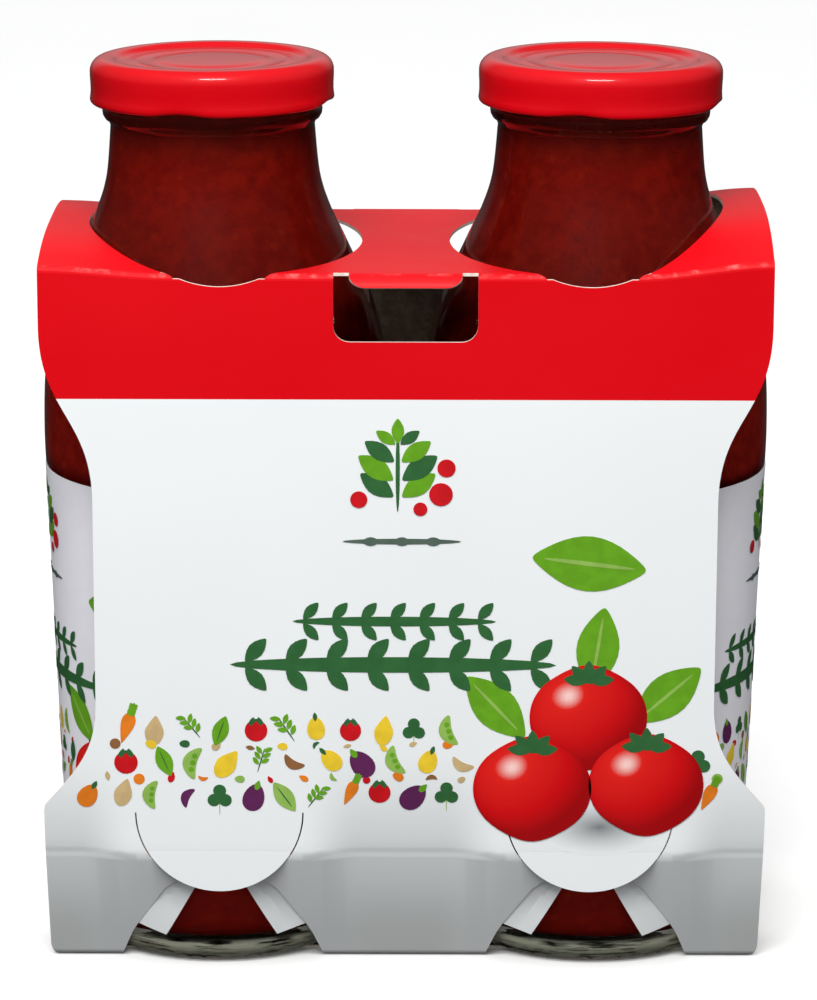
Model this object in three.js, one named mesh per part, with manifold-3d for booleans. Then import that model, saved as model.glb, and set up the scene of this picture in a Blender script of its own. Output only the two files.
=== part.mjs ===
// Twin pack: two glass bottles of tomato passata held in a folded card carrier.
// Millimetres, +Z up. The origin is on the floor, midway between the bottles.
// X runs from bottle to bottle, and -Y is the front of the pack.
import * as THREE from 'three';
import { mergeVertices } from 'three/addons/utils/BufferGeometryUtils.js';
import Module from 'manifold-3d';

// Pack
const BOTTLE_FOOT_X = 35.7;
const BOTTLE_LEAN = THREE.MathUtils.degToRad(0.33);
const SIDES = 28;
const AIR = 0.3;

// Card carrier
const BOARD = 0.6;
const HALF_DEPTH = 34.3;
const TOP_Z = 136;
const CREASE_Z = 24;
const BOTTOM_HALF_DEPTH = 22.4;
const FOLD_RADIUS = 1.4;
const EAR_HALF_WIDTH = 67.4;
const WAIST_HALF_WIDTH = 57.9;
const FOOT_HALF_WIDTH = 68;
const EAR_LOW_Z = 126;
const WAIST_TOP_Z = 93;
const WAIST_LOW_Z = 54;
const FOOT_TOP_Z = 34.4;
const LEFT_BOW_LIFT = 4.4;
const LEFT_FOLD_LIFT = 1.4;
const RIGHT_BOW_LIFT = 8;
const RIGHT_FOLD_LIFT = 2.4;
const BOW_START_X = 18;
const FOLD_LIFT_START_X = 42;

// Neck holes in the top, as ovals in the flat sheet
const NECK_HOLE_X = 34.2;
const NECK_HOLE_HALF_WIDTH = 25.9;
const NECK_HOLE_HALF_LENGTH = 36.1;

// Finger slots and the lip of card above each
const SLOT_HALF_WIDTH = 13.3;
const SLOT_LOW_Z = 123.3;
const SLOT_TOP_Z = 135.3;
const SLOT_CORNER = 3;
const LIP_HALF_WIDTH = 10.4;
const LIP_LENGTH = 4;
const LIP_DROOP = THREE.MathUtils.degToRad(38);

// Heel openings with their half-round tabs and side flaps
const HEEL_X = 34.9;
const TAB_RADIUS = 15.9;
const TAB_CENTRE_Z = 32.7;
const TAB_SLIT = 0.3;
const HEEL_HALF_WIDTH = 19.9;
const HEEL_NOTCH_IN = 4;

// Bottle, measured up from its foot
const FOOT_RADIUS = 26.5;
const SHOULDER_RADIUS = 33.1;
const SHOULDER_Z = 99;
const NECK_RADIUS = 19.3;
const NECK_Z = 157.5;
const BEAD_RADIUS = 20.8;
const FINISH_RADIUS = 19.7;
const MOUTH_Z = 168.6;
const WALL = 2.7;
const NECK_WALL = 2.3;
const FLOOR_THICKNESS = 4.4;
const FLOOR_CORNER = 6;
const PUNT_DEPTH = 1.4;
const FILL_Z = 161.5;

// Lug lid
const LID_RADIUS = 23;
const LID_HEIGHT = 8.6;
const LID_SHEET = 0.5;
const LID_RIM_ROUND = 2.6;
const LID_PANEL_DROP = 0.9;
const LID_PANEL_RADIUS = 17.4;
const LID_BUTTON_RADIUS = 11;
const LUGS = 4;
const LUG_PINCH = 0.5;

// Paper label
const LABEL_LOW_Z = 22;
const LABEL_TOP_Z = 92.5;
const LABEL_PAPER = 0.15;

const FOOT_Z = BOARD + AIR;

const material = (color, roughness, metalness = 0) =>
  new THREE.MeshStandardMaterial({ color, roughness, metalness });
const glass = material(0xdfe8e2, 0.05);
const passata = material(0x6e1409, 0.45);
const redLacquer = material(0xcf0713, 0.3, 0.3);
const paper = material(0xecebf1, 0.6);
const card = material(0xe9ecec, 0.5);

const wasm = await Module();
wasm.setup();

// A closed geometry as a solid that can be joined and cut.
function solidFrom(geometry) {
  const bare = geometry.clone();
  bare.deleteAttribute('normal');
  bare.deleteAttribute('uv');
  const merged = mergeVertices(bare, 1e-4);
  return new wasm.Manifold(new wasm.Mesh({
    numProp: 3,
    vertProperties: merged.attributes.position.array,
    triVerts: new Uint32Array(merged.index.array),
  }));
}

function geometryFrom(solid) {
  const mesh = solid.getMesh();
  const geometry = new THREE.BufferGeometry();
  geometry.setAttribute('position', new THREE.BufferAttribute(mesh.vertProperties, 3));
  geometry.setIndex(new THREE.BufferAttribute(mesh.triVerts, 1));
  geometry.computeVertexNormals();
  return geometry;
}

// A shape drawn in X and Z, pushed through from yLow to yHigh.
function throughY(shape, yLow, yHigh, curveSegments = 8) {
  const depth = yHigh - yLow;
  const geometry = new THREE.ExtrudeGeometry(shape, { depth, bevelEnabled: false, curveSegments });
  return solidFrom(geometry.rotateX(Math.PI / 2).translate(0, yHigh, 0));
}

function ellipseShape(x, y, radiusX, radiusY) {
  const shape = new THREE.Shape();
  shape.absellipse(x, y, radiusX, radiusY, 0, Math.PI * 2);
  return shape;
}

// A convex outline moved inwards by a distance.
function insetOutline(points, distance) {
  const count = points.length;
  return points.map((corner, i) => {
    const before = points[(i + count - 1) % count].clone().sub(corner).normalize();
    const after = points[(i + 1) % count].clone().sub(corner).normalize();
    const half = Math.acos(before.dot(after)) / 2;
    return corner.clone().addScaledVector(before.add(after).normalize(), distance / Math.sin(half));
  });
}

// A convex outline with rounded corners. Every side is drawn in a number of equal pieces.
function roundedOutline(path, points, radius, pieces) {
  const count = points.length;
  const corners = points.map((corner, i) => {
    const before = points[(i + count - 1) % count].clone().sub(corner).normalize();
    const after = points[(i + 1) % count].clone().sub(corner).normalize();
    const reach = radius / Math.tan(Math.acos(before.dot(after)) / 2);
    const start = corner.clone().addScaledVector(before, reach);
    const end = corner.clone().addScaledVector(after, reach);
    return { corner, start, end };
  });
  path.moveTo(corners[0].start.x, corners[0].start.y);
  corners.forEach(({ corner, end }, i) => {
    const next = corners[(i + 1) % count].start;
    path.quadraticCurveTo(corner.x, corner.y, end.x, end.y);
    for (let k = 1; k <= pieces[i]; k++) {
      const stop = end.clone().lerp(next, k / pieces[i]);
      path.lineTo(stop.x, stop.y);
    }
  });
  return path;
}

// How far the top is lifted towards its ends: a little along the folds, and more in the bow between them.
function topLift(x, y) {
  const [bowLift, foldLift] = x < 0 ? [LEFT_BOW_LIFT, LEFT_FOLD_LIFT] : [RIGHT_BOW_LIFT, RIGHT_FOLD_LIFT];
  const onFold = foldLift * THREE.MathUtils.smoothstep(Math.abs(x), FOLD_LIFT_START_X, FOOT_HALF_WIDTH);
  const between = bowLift * THREE.MathUtils.smoothstep(Math.abs(x), BOW_START_X, FOOT_HALF_WIDTH);
  const bow = 1 - Math.min(1, Math.abs(y / (HALF_DEPTH - FOLD_RADIUS))) ** 3;
  return THREE.MathUtils.lerp(onFold, between, bow);
}

// The card wrapped round the bottles: one section, pushed along X in steps, with its top bowed.
function foldedSleeve(steps) {
  const outline = [
    [-BOTTOM_HALF_DEPTH, 0], [BOTTOM_HALF_DEPTH, 0], [HALF_DEPTH, CREASE_Z],
    [HALF_DEPTH, TOP_Z], [-HALF_DEPTH, TOP_Z], [-HALF_DEPTH, CREASE_Z],
  ].map(([y, z]) => new THREE.Vector2(y, z));
  const pieces = [1, 1, 1, 8, 1, 1];
  const section = roundedOutline(new THREE.Shape(), outline, FOLD_RADIUS, pieces);
  const inside = insetOutline(outline, BOARD);
  section.holes.push(roundedOutline(new THREE.Path(), inside, FOLD_RADIUS - BOARD, pieces));
  const geometry = new THREE.ExtrudeGeometry(section, {
    depth: 2 * FOOT_HALF_WIDTH, steps, bevelEnabled: false, curveSegments: 3,
  });
  geometry.applyMatrix4(new THREE.Matrix4().makeBasis(
    new THREE.Vector3(0, 1, 0), new THREE.Vector3(0, 0, 1), new THREE.Vector3(1, 0, 0)));
  geometry.translate(-FOOT_HALF_WIDTH, 0, 0);
  const place = geometry.attributes.position;
  for (let i = 0; i < place.count; i++) {
    const z = place.getZ(i);
    if (z > TOP_Z - 1.5 * FOLD_RADIUS) place.setZ(i, z + topLift(place.getX(i), place.getY(i)));
  }
  return solidFrom(geometry);
}

// What is trimmed off one end: beside the ears, in at the waist, and out to the foot.
function endTrim(side) {
  const clear = FOOT_HALF_WIDTH + 5;
  const shape = new THREE.Shape();
  shape.moveTo(clear, TOP_Z + 15);
  shape.lineTo(EAR_HALF_WIDTH, TOP_Z + 15);
  shape.lineTo(EAR_HALF_WIDTH, EAR_LOW_Z);
  shape.bezierCurveTo(EAR_HALF_WIDTH, 110, WAIST_HALF_WIDTH, 109, WAIST_HALF_WIDTH, WAIST_TOP_Z);
  shape.lineTo(WAIST_HALF_WIDTH, WAIST_LOW_Z);
  shape.bezierCurveTo(WAIST_HALF_WIDTH, 45, 61.5, 41, FOOT_HALF_WIDTH - 0.6, FOOT_TOP_Z);
  shape.quadraticCurveTo(FOOT_HALF_WIDTH, FOOT_TOP_Z - 0.6, FOOT_HALF_WIDTH, FOOT_TOP_Z - 1.8);
  shape.lineTo(clear, FOOT_TOP_Z - 1.8);
  const cut = throughY(shape, -HALF_DEPTH - 1, HALF_DEPTH + 1, 8);
  return side > 0 ? cut : cut.mirror([1, 0, 0]);
}

// The oval that a neck comes up through. It runs a little way over the front and back folds.
function neckHole(x) {
  const oval = new THREE.ExtrudeGeometry(
    ellipseShape(x, 0, NECK_HOLE_HALF_WIDTH, NECK_HOLE_HALF_LENGTH),
    { depth: 15, bevelEnabled: false, curveSegments: 20 });
  const onTop = solidFrom(oval.translate(0, 0, TOP_Z - BOARD - 0.4));
  const overFold = ellipseShape(x, TOP_Z + HALF_DEPTH, NECK_HOLE_HALF_WIDTH, NECK_HOLE_HALF_LENGTH);
  const front = throughY(overFold, -HALF_DEPTH - 1, -HALF_DEPTH + FOLD_RADIUS, 24);
  return onTop.add(front).add(front.mirror([0, 1, 0]));
}

// The finger slot in the front panel, open up to the fold.
function fingerSlot() {
  const [side, low, round] = [SLOT_HALF_WIDTH, SLOT_LOW_Z, SLOT_CORNER];
  const shape = new THREE.Shape();
  shape.moveTo(-side, SLOT_TOP_Z);
  shape.lineTo(-side, low + round);
  shape.quadraticCurveTo(-side, low, -side + round, low);
  shape.lineTo(side - round, low);
  shape.quadraticCurveTo(side, low, side, low + round);
  shape.lineTo(side, SLOT_TOP_Z);
  return throughY(shape, -HALF_DEPTH - 1, -HALF_DEPTH + 2, 4);
}

// The lip that carries on from the top panel and droops over the slot.
function slotLip() {
  const [side, end] = [LIP_HALF_WIDTH, LIP_LENGTH];
  const shape = new THREE.Shape();
  shape.moveTo(-side, 0);
  shape.lineTo(-side, end / 2);
  shape.quadraticCurveTo(-side, end, -side + end / 2, end);
  shape.lineTo(side - end / 2, end);
  shape.quadraticCurveTo(side, end, side, end / 2);
  shape.lineTo(side, 0);
  const geometry = new THREE.ExtrudeGeometry(shape, { depth: BOARD, bevelEnabled: false, curveSegments: 3 });
  const [cos, sin] = [Math.cos(LIP_DROOP), Math.sin(LIP_DROOP)];
  geometry.applyMatrix4(new THREE.Matrix4().makeBasis(
    new THREE.Vector3(1, 0, 0), new THREE.Vector3(0, -cos, -sin), new THREE.Vector3(0, sin, -cos)));
  return solidFrom(geometry.translate(0, -HALF_DEPTH + FOLD_RADIUS, TOP_Z));
}

// Where the outside of the front slope lies at a height.
const slopeY = (z) => -THREE.MathUtils.lerp(BOTTOM_HALF_DEPTH, HALF_DEPTH, z / CREASE_Z);

// The opening in the front slope where a bottle's heel comes through, and the slit round its tab.
function heelOpening(x) {
  const fall = CREASE_Z / Math.hypot(CREASE_Z, HALF_DEPTH - BOTTOM_HALF_DEPTH);
  const aboveCrease = TAB_CENTRE_Z - CREASE_Z;
  const reach = -BOTTOM_HALF_DEPTH + HEEL_NOTCH_IN;
  const tabHole = throughY(
    ellipseShape(x, CREASE_Z + aboveCrease * fall, TAB_RADIUS, TAB_RADIUS * fall), -HALF_DEPTH - 1, reach);
  const slit = new THREE.Shape();
  slit.absarc(x, TAB_CENTRE_Z, TAB_RADIUS, Math.PI, 2 * Math.PI);
  slit.absarc(x, TAB_CENTRE_Z, TAB_RADIUS - TAB_SLIT, 2 * Math.PI, Math.PI, true);
  const edge = [[6, 20], [10.6, 16.4], [16, 8], [17.2, 5.8], [HEEL_HALF_WIDTH, -1]];
  const heel = new THREE.Shape([
    ...edge.map(([dx, z]) => new THREE.Vector2(x - dx, z)),
    ...edge.map(([dx, z]) => new THREE.Vector2(x + dx, z)).reverse(),
  ]);
  return tabHole.intersect(slab(0, CREASE_Z))
    .add(throughY(slit, -HALF_DEPTH - 1, -HALF_DEPTH + 1.2 * BOARD))
    .add(throughY(heel, -HALF_DEPTH - 1, reach));
}

// The half-round tab that stays upright in front of the heel.
function heelTab(x) {
  const shape = new THREE.Shape();
  const radius = TAB_RADIUS - 2 * TAB_SLIT;
  const half = Math.acos((TAB_CENTRE_Z - CREASE_Z - 1) / radius);
  shape.absarc(x, TAB_CENTRE_Z, radius, -Math.PI / 2 - half, -Math.PI / 2 + half);
  return throughY(shape, -HALF_DEPTH, -HALF_DEPTH + BOARD);
}

// A strip of card beside the heel, bent out from the slope so that it lies against the glass.
function heelFlap(x, side, axisX) {
  const onSlope = (dx, z) => new THREE.Vector3(x + side * dx, slopeY(z) + BOARD / 2, z);
  const onGlass = (dx, z) => {
    const reach = bottleRadius(z - FOOT_Z) + 2 * AIR;
    const across = x + side * dx - axisX;
    return new THREE.Vector3(x + side * dx, -Math.sqrt(reach ** 2 - across ** 2), z);
  };
  const inner = [onSlope(10.8, 16.7), onSlope(16.2, 7.9), onGlass(10.6, 6.2), onGlass(4.4, 17.6)];
  const outwards = inner[2].clone().sub(inner[0]).cross(inner[3].clone().sub(inner[1])).normalize();
  if (outwards.y > 0) outwards.negate();
  const outer = inner.map((corner) => corner.clone().addScaledVector(outwards, BOARD));
  const geometry = new THREE.BufferGeometry().setFromPoints([...inner, ...outer]);
  const faces = [0, 1, 2, 0, 2, 3, 4, 6, 5, 4, 7, 6];
  for (let i = 0; i < 4; i++) {
    const j = (i + 1) % 4;
    faces.push(i, i + 4, j, j, i + 4, j + 4);
  }
  if (side < 0) faces.reverse();
  geometry.setIndex(faces);
  return solidFrom(geometry);
}

const slab = (zLow, zHigh) => solidFrom(
  new THREE.BoxGeometry(200, 100, zHigh - zLow).translate(0, 0, (zLow + zHigh) / 2));

function cartonGeometry() {
  const panels = foldedSleeve(1).intersect(slab(-1, TOP_Z - 3));
  const bowedTop = foldedSleeve(16).intersect(slab(TOP_Z - 4, TOP_Z + 20));
  let carton = panels.add(bowedTop).subtract(endTrim(1)).subtract(endTrim(-1));
  const slot = fingerSlot();
  const lip = slotLip();
  carton = carton.subtract(slot).subtract(slot.mirror([0, 1, 0]));
  for (const side of [-1, 1]) {
    const x = side * HEEL_X;
    const axisX = side * BOTTLE_FOOT_X;
    const opening = heelOpening(x);
    carton = carton.subtract(neckHole(side * NECK_HOLE_X));
    carton = carton.subtract(opening).subtract(opening.mirror([0, 1, 0]));
    for (const piece of [heelTab(x), heelFlap(x, -1, axisX), heelFlap(x, 1, axisX)]) {
      carton = carton.add(piece).add(piece.mirror([0, 1, 0]));
    }
  }
  return geometryFrom(carton.add(lip).add(lip.mirror([0, 1, 0])));
}

// The outside of the glass from the foot to below the bead, as radius against height.
const bodyCurve = new THREE.SplineCurve([
  [FOOT_RADIUS, 0], [28.6, 3], [29.8, 9], [30.5, 17], [31.4, 43], [32.5, 82],
  [SHOULDER_RADIUS, SHOULDER_Z], [32.4, 113], [30.3, 123], [25.1, 135.1],
  [22.1, 141.6], [20.2, 148], [NECK_RADIUS, NECK_Z],
].map(([r, z]) => new THREE.Vector2(r, z)));

function bottleRadius(z) {
  const points = bodyCurve.getPoints(200);
  const above = Math.max(1, points.findIndex((p) => p.y >= z));
  const [low, high] = [points[above - 1], points[above]];
  return low.x + (high.x - low.x) * (z - low.y) / (high.y - low.y);
}

const insideRadius = (z) => bottleRadius(z) - THREE.MathUtils.lerp(
  WALL, NECK_WALL, THREE.MathUtils.smoothstep(z, SHOULDER_Z, NECK_Z));

// The inside wall from the rounded floor up to the neck, held back by an inset.
function insideProfile(inset) {
  const floor = FLOOR_THICKNESS + inset;
  const points = [new THREE.Vector2(0, floor)];
  const cornerRadius = insideRadius(floor + FLOOR_CORNER) - inset - FLOOR_CORNER;
  for (let i = 0; i <= 3; i++) {
    const angle = -Math.PI / 2 * (1 - i / 3);
    points.push(new THREE.Vector2(cornerRadius + FLOOR_CORNER * Math.cos(angle),
      floor + FLOOR_CORNER * (1 + Math.sin(angle))));
  }
  for (const z of [43, 82, SHOULDER_Z, 109, 118, 126, 135, 141, 148, NECK_Z]) {
    points.push(new THREE.Vector2(insideRadius(z) - inset, z));
  }
  return points;
}

const lathe = (points) => new THREE.LatheGeometry(points, SIDES).rotateX(Math.PI / 2);
const point = (r, z) => new THREE.Vector2(r, z);

function bottleGeometry() {
  const foot = [point(0, PUNT_DEPTH), point(16, PUNT_DEPTH - 0.3), point(23, 0.45), point(24.5, 0)];
  const bead = [point(BEAD_RADIUS - 0.5, NECK_Z + 1.2), point(BEAD_RADIUS, NECK_Z + 2.3),
    point(BEAD_RADIUS, NECK_Z + 3.2), point(BEAD_RADIUS - 0.6, NECK_Z + 4)];
  const finish = [point(FINISH_RADIUS, NECK_Z + 4.4), point(FINISH_RADIUS, MOUTH_Z - 1),
    point(FINISH_RADIUS - 1, MOUTH_Z)];
  const bore = NECK_RADIUS - NECK_WALL;
  const mouth = [point(bore + 0.6, MOUTH_Z), point(bore, MOUTH_Z - 0.8)];
  const outside = [...foot, ...bodyCurve.getPoints(20), ...bead, ...finish, ...mouth];
  return lathe([...outside, ...insideProfile(0).reverse()]);
}

function passataGeometry() {
  return lathe([...insideProfile(AIR), point(NECK_RADIUS - NECK_WALL - AIR, FILL_Z), point(0, FILL_Z)]);
}

function labelGeometry() {
  const inner = [LABEL_LOW_Z, LABEL_TOP_Z].map((z) => point(bottleRadius(z) + AIR, z));
  const outer = inner.map(({ x, y }) => point(x + LABEL_PAPER, y));
  return lathe([outer[0], outer[1], inner[1], inner[0], outer[0].clone()]);
}

// A pressed lid with a raised rim, a button, and a rolled edge that is pinched in at each lug.
function lidGeometry() {
  const panel = LID_HEIGHT - LID_PANEL_DROP;
  const outside = [point(0, panel + 0.3), point(LID_BUTTON_RADIUS - 1, panel + 0.3),
    point(LID_BUTTON_RADIUS, panel), point(LID_PANEL_RADIUS, panel),
    point(LID_PANEL_RADIUS + 1.2, LID_HEIGHT)];
  for (let i = 0; i <= 3; i++) {
    const angle = Math.PI / 2 * (1 - i / 3);
    outside.push(point(LID_RADIUS - LID_RIM_ROUND * (1 - Math.cos(angle)),
      LID_HEIGHT - LID_RIM_ROUND * (1 - Math.sin(angle))));
  }
  const roll = [point(LID_RADIUS, 1.2), point(LID_RADIUS - 0.4, 0), point(LID_RADIUS - 1.3, 0),
    point(LID_RADIUS - 1.5, 1.1)];
  const skirt = LID_RADIUS - LID_SHEET;
  const inside = [point(skirt, 1.6), point(skirt, LID_HEIGHT - LID_RIM_ROUND),
    point(skirt - 1.8, LID_HEIGHT - LID_SHEET), point(LID_PANEL_RADIUS + 1.5, LID_HEIGHT - LID_SHEET),
    point(LID_PANEL_RADIUS + 0.4, panel - LID_SHEET), point(0, panel - LID_SHEET)];
  const geometry = lathe([...outside, ...roll, ...inside].reverse());
  const place = geometry.attributes.position;
  for (let i = 0; i < place.count; i++) {
    const [x, y, z] = [place.getX(i), place.getY(i), place.getZ(i)];
    if (z > 1.2) continue;
    const pinch = LUG_PINCH * Math.max(0, Math.cos(LUGS * Math.atan2(y, x))) ** 2;
    const squeeze = 1 - 0.6 * pinch / Math.hypot(x, y);
    place.setXYZ(i, x * squeeze, y * squeeze, z + pinch * (1 - z / 1.3));
  }
  return geometry;
}

const pack = new THREE.Group();

function addPiece(parent, name, geometry, finish) {
  const piece = new THREE.Mesh(geometry, finish);
  piece.name = name;
  parent.add(piece);
  return piece;
}

addPiece(pack, 'carrier_carton', cartonGeometry(), card);

for (const [name, side] of [['left', -1], ['right', 1]]) {
  const stand = new THREE.Group();
  stand.position.set(side * BOTTLE_FOOT_X, 0, FOOT_Z);
  stand.rotation.y = side * BOTTLE_LEAN;
  addPiece(stand, `bottle_${name}`, bottleGeometry(), glass);
  addPiece(stand, `passata_${name}`, passataGeometry(), passata);
  addPiece(stand, `label_${name}`, labelGeometry(), paper);
  const lid = addPiece(stand, `lid_${name}`, lidGeometry(), redLacquer);
  lid.position.z = MOUTH_Z + AIR + LID_PANEL_DROP + LID_SHEET - LID_HEIGHT;
  pack.add(stand);
}

export default pack;
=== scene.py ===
import math
import random

import bmesh
import bpy
from mathutils import Matrix, Vector
from mathutils.geometry import interpolate_bezier


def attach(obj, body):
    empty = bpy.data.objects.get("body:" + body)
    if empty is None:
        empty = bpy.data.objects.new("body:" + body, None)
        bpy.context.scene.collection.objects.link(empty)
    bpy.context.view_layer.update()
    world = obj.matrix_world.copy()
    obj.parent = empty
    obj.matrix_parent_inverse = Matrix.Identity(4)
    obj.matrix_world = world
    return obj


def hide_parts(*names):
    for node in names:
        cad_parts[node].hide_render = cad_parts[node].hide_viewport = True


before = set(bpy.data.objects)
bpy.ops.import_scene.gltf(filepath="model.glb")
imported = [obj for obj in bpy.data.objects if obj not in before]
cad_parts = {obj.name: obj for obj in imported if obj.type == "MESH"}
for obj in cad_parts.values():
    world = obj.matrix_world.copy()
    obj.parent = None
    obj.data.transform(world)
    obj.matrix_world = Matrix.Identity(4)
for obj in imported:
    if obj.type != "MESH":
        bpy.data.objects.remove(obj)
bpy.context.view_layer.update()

# All pieces are drawn in millimetres and scaled to metres when they are finished.
MM = 0.001

# Card carrier
BOARD = 0.6
HALF_DEPTH = 34.3
TOP_Z = 136.0
CREASE_Z = 24.0
BOTTOM_HALF_DEPTH = 22.4
FOLD_REACH = 1.3
EAR_HALF_WIDTH = 67.4
WAIST_HALF_WIDTH = 57.9
FOOT_HALF_WIDTH = 68.0
EAR_LOW_Z = 126.0
WAIST_TOP_Z = 93.0
WAIST_LOW_Z = 54.0
FOOT_TOP_Z = 34.4
FOOT_CORNER_Z = 32.6
LEFT_BOW_LIFT, LEFT_FOLD_LIFT = 4.4, 1.4
RIGHT_BOW_LIFT, RIGHT_FOLD_LIFT = 8.0, 2.4
BOW_START_X, FOLD_LIFT_START_X = 18.0, 42.0
NECK_HOLE_X = 34.2
NECK_HOLE_HALF_WIDTH = 25.9
NECK_HOLE_HALF_LENGTH = 36.2
SLOT_HALF_WIDTH = 13.3
SLOT_LOW_Z = 123.3
SLOT_TOP_Z = 137.0
SLOT_CORNER = 3.0
LIP_HALF_WIDTH = 10.4
LIP_LENGTH = 4.2
LIP_CORNER = 2.9
LIP_BEND_RADIUS = 3.6
HEEL_X = 34.9
TAB_RADIUS = 15.9
TAB_CENTRE_Z = 32.7
TAB_SLIT = 0.28
HEEL_NOTCH_IN = 4.0
FLAP_CLEAR = 0.75
FLAP_BOARD = 0.5
RED_FROM_Z = 112.5
BEND_FROM_Z = 44.0
BEND_DEPTH = 2.6
CUT_REACH = 45.0
PRINT_OFF = 0.05
INK_LIFT, INK_STAGGER = 0.03, 0.0012

# Bottle
FOOT_X = 35.7
FOOT_Z = 0.9
LEAN = math.radians(0.33)
MOUTH_Z = 168.6
WALL = 2.7
NECK_WALL = 2.3
FLOOR_THICKNESS = 4.4
FLOOR_CORNER = 6.0
FLOOR_CORNER_TOP_Z = 11.0
SHOULDER_Z = 99.0
NECK_Z = 157.5
FILL_Z = 161.5
HEEL_RIDGES = 60
BODY_STATIONS = [
    (26.5, 0.0), (28.6, 3.0), (29.8, 9.0), (30.5, 17.0), (31.4, 43.0), (32.5, 82.0), (33.1, SHOULDER_Z),
    (32.4, 113.0), (30.3, 123.0), (25.1, 135.1), (22.1, 141.6), (20.2, 148.0), (19.3, NECK_Z),
]

# Lug lid
LID_RADIUS = 23.0
LID_HEIGHT = 8.6
LID_SHEET = 0.5
LID_RIM_ROUND = 2.6
LID_PANEL_DROP = 0.9
LID_GAP = 0.3
LUGS = 4

# Paper label
LABEL_LOW_Z = 22.0
LABEL_TOP_Z = 92.5
LABEL_INNER, LABEL_OUTER, LABEL_INK = 0.04, 0.16, 0.2
LABEL_HALF_LENGTH = 48.0
LABEL_FACING = math.radians(78)


# Finishes

def srgb(r, g, b):
    """A screen colour as the linear colour that a material takes."""
    def linear(c):
        c /= 255.0
        return c / 12.92 if c <= 0.04045 else ((c + 0.055) / 1.055) ** 2.4
    return (linear(r), linear(g), linear(b), 1.0)


COATED = {"Specular_IOR_Level": 0.25, "Coat_Weight": 0.06, "Coat_Roughness": 0.25}
BOARD_WHITE = (srgb(233, 236, 237), srgb(238, 241, 242))


def set_range(node, low, high, to_low, to_high):
    """Sets what a Map Range node reads and what it gives."""
    names = ("From Min", "From Max", "To Min", "To Max")
    for name, number in zip(names, (low, high, to_low, to_high)):
        node.inputs[name].default_value = number


class Finish:
    """A Principled material with its nodes within reach."""

    def __init__(self, name, **sockets):
        self.material = bpy.data.materials.new(name)
        self.material.use_nodes = True
        self.tree = self.material.node_tree
        self.shader = self.tree.nodes["Principled BSDF"]
        for socket, value in sockets.items():
            self.shader.inputs[socket.replace("_", " ")].default_value = value
        self.place = self.tree.nodes.new("ShaderNodeTexCoord").outputs["Object"]

    def node(self, kind, settings=None, *first, **named):
        """A new node, with its first sockets fed in order and others by name."""
        made = self.tree.nodes.new("ShaderNode" + kind)
        for key, value in (settings or {}).items():
            setattr(made, key, value)
        for socket, value in [*enumerate(first), *named.items()]:
            self.feed(made.inputs[socket], value)
        return made

    def feed(self, socket, value):
        if isinstance(value, bpy.types.NodeSocket):
            self.tree.links.new(value, socket)
        else:
            socket.default_value = value

    def noise(self, scale, detail=3.0, roughness=0.5):
        made = self.node("TexNoise", Vector=self.place, Scale=scale, Detail=detail, Roughness=roughness)
        return made.outputs["Fac"]

    def ramp(self, value, low, high, to_low=0.0, to_high=1.0):
        made = self.node("MapRange", {"interpolation_type": "SMOOTHSTEP"}, Value=value)
        set_range(made, low, high, to_low, to_high)
        return made.outputs["Result"]

    def mix(self, factor, a, b):
        made = self.node("Mix", {"data_type": "RGBA"}, factor)
        self.feed(made.inputs[6], a)
        self.feed(made.inputs[7], b)
        return made.outputs[2]

    def math(self, operation, a, b=0.0):
        return self.node("Math", {"operation": operation}, a, b).outputs[0]

    def colour(self, value):
        self.feed(self.shader.inputs["Base Color"], value)

    def rough(self, value):
        self.feed(self.shader.inputs["Roughness"], value)

    def bump(self, height, distance, strength=1.0):
        made = self.node("Bump", Height=height, Distance=distance, Strength=strength)
        self.feed(self.shader.inputs["Normal"], made.outputs["Normal"])


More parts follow.
